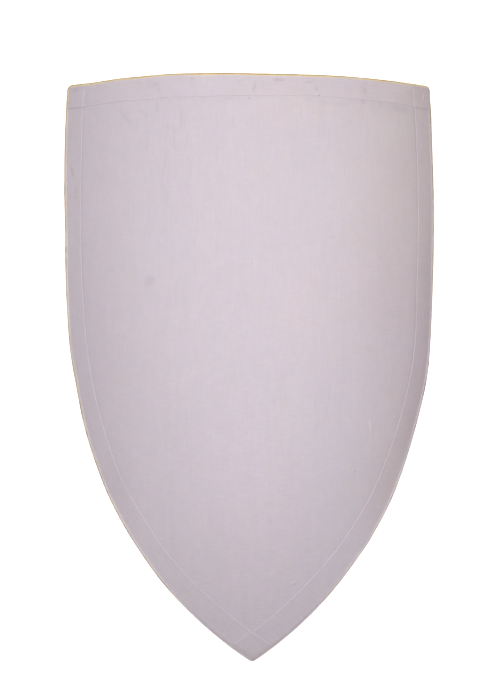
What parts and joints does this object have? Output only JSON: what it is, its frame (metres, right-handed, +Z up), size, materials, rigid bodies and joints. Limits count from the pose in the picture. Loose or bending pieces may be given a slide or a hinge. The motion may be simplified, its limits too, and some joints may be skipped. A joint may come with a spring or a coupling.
{
  "type": "heater shield",
  "caption": "Long heater shield of curved plywood with a primed canvas face and cloth strips bound round its edge, lying face up on its side rims.",
  "frame": {"origin": "on the floor, below the centre of the shield's box in plan", "axes": "+Y runs up the shield to its top edge, +X to the right of someone looking at its face, and +Z up out of the face"},
  "size_m": [0.5672, 0.8614, 0.1051],
  "materials": {
    "plywood": "bare, oiled dull",
    "primed_canvas": "matt pale lilac-grey primer over fine canvas",
    "primed_strip": "matt primer on the face, bare golden-tan cloth round the rim and on the back"
  },
  "bodies": {
    "root": {"board": "plywood", "canvas_facing": "primed_canvas", "top_binding": "primed_strip", "left_binding": "primed_strip", "right_binding": "primed_strip"}
  },
  "joints": []
}
